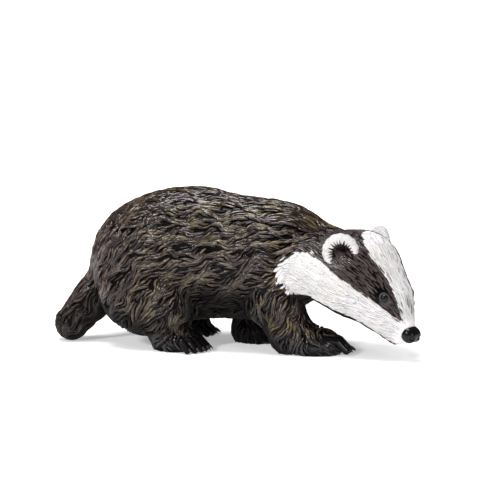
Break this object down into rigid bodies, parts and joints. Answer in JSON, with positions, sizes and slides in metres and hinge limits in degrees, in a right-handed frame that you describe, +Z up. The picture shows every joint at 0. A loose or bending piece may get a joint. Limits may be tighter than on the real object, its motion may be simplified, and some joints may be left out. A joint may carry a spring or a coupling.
{
  "type": "toy badger figure",
  "caption": "Moulded plastic toy figure of a European badger, walking with its nose held low, with a sculpted coat and painted stripes.",
  "frame": {"origin": "on the ground, under the middle of the bounding box", "axes": "+X towards the front of the animal, +Y to its left, +Z up"},
  "size_m": [0.1008, 0.0348, 0.0421],
  "materials": {
    "coat": "satin paint, brown-black with olive-tan dry brushing on the ridges and near-black feet",
    "face_white": "satin white paint with grey hair lines, and a dark brown stripe through each eye",
    "gloss_black": "gloss black paint"
  },
  "bodies": {
    "root": {"torso": "coat", "neck": "coat", "head": "face_white", "ear_right": "face_white", "ear_left": "face_white", "eye_right": "gloss_black", "eye_left": "gloss_black", "nose": "gloss_black", "tail": "coat", "leg_fore_right": "coat", "leg_fore_left": "coat", "leg_hind_right": "coat", "leg_hind_left": "coat"}
  },
  "joints": []
}
